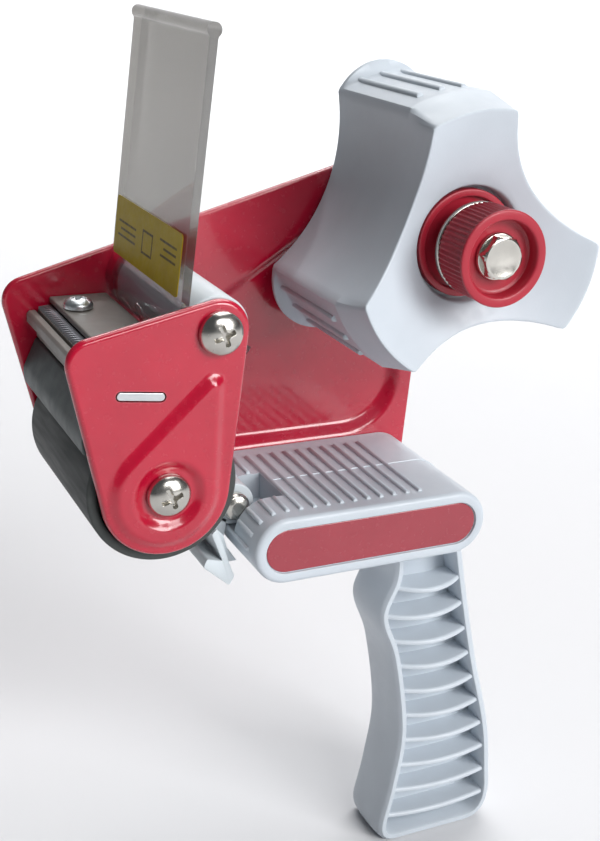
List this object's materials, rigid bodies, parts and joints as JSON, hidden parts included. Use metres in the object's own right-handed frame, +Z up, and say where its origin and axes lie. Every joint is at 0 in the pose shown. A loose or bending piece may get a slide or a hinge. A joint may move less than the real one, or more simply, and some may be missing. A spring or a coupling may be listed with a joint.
{
  "type": "packing tape dispenser",
  "caption": "Hand-held packing tape dispenser: pistol grip, pressed side frame, braked three-lobed core hub, rubber roller, toothed blade and hinged clear flap.",
  "frame": {"origin": "middle of the bounding box's bottom face, at the height of the grip's flat end", "axes": "+Z up along the tool, from the grip's end to the flap; +Y across the tool, from the brake knob to the side frame, along the hub's axis; +X from the roller towards the user's hand and the hub"},
  "size_m": [0.146, 0.0724, 0.2373],
  "materials": {
    "red_paint": "glossy powder coat",
    "grey_plastic": "satin moulded plastic",
    "pale_plastic": "satin moulded plastic, slightly lighter",
    "grey_paint": "satin grey coat",
    "slate_paint": "satin dark grey coat",
    "black_rubber": "matt, finely ground",
    "black_plastic": "satin moulded plastic",
    "red_plastic": "satin moulded plastic",
    "red_inlay": "glossy foil behind a clear face",
    "bright_nickel": "bright nickel plate",
    "zinc": "zinc plate",
    "dark_steel": "hardened strip, dull",
    "plain_steel": "drawn steel",
    "clear_plastic": "clear, faintly smoked",
    "yellow_label": "printed film"
  },
  "bodies": {
    "frame": {"side_frame": "red_paint", "near_side_plate": "red_paint", "handle": "grey_plastic", "blade_clamp_plate": "grey_paint", "blade_holder": "grey_paint", "front_cover_plate": "slate_paint", "brake_cup": "red_plastic", "handle_inlay": "red_inlay", "roller_screw_near": "bright_nickel", "roller_screw_far": "bright_nickel", "guide_screw_near": "bright_nickel", "guide_screw_far": "bright_nickel", "lever_bolt": "bright_nickel", "hub_bolt": "bright_nickel", "brake_washer": "bright_nickel", "blade_screw_near": "zinc", "blade_screw_far": "zinc", "handle_screw_front": "zinc", "handle_screw_back": "zinc", "hub_nut": "zinc", "lever_nut": "zinc", "cutting_blade": "dark_steel", "roller_axle": "plain_steel", "guide_axle": "plain_steel", "hub_spacer": "plain_steel", "flap_spring": "plain_steel", "brake_spring": "plain_steel", "lever_spring": "plain_steel"},
    "hub": {"tape_hub": "grey_plastic"},
    "knob": {"brake_knob": "red_plastic"},
    "roller": {"roller_core": "black_plastic", "roller_sleeve": "black_rubber"},
    "guide": {"guide_roller": "pale_plastic"},
    "flap": {"clear_flap": "clear_plastic", "flap_label": "yellow_label"},
    "lever": {"retaining_lever": "pale_plastic"}
  },
  "joints": [
    {"name": "hub_spin", "type": "hinge", "parent": "frame", "child": "hub", "pos_m": [0.03343, 0, 0.184], "axis": [0, 1, 0], "continuous": true},
    {"name": "brake_knob_turn", "type": "hinge", "parent": "frame", "child": "knob", "pos_m": [0.03343, 0, 0.184], "axis": [0, 1, 0], "range_deg": [-180, 180]},
    {"name": "roller_spin", "type": "hinge", "parent": "frame", "child": "roller", "pos_m": [-0.04897, 0, 0.1324], "axis": [0, 1, 0], "continuous": true},
    {"name": "guide_roller_spin", "type": "hinge", "parent": "frame", "child": "guide", "pos_m": [-0.03687, 0, 0.1701], "axis": [0, 1, 0], "continuous": true},
    {"name": "flap_swing", "type": "hinge", "parent": "frame", "child": "flap", "pos_m": [-0.03687, 0, 0.1701], "axis": [0, 1, 0], "range_deg": [-55, 0], "stiffness_Nm_per_rad": 0.02, "springref_deg": 20.05},
    {"name": "lever_swing", "type": "hinge", "parent": "frame", "child": "lever", "pos_m": [-0.02207, 0, 0.115], "axis": [0, 1, 0], "range_deg": [0, 18], "stiffness_Nm_per_rad": 0.01, "springref_deg": -11.46}
  ]
}
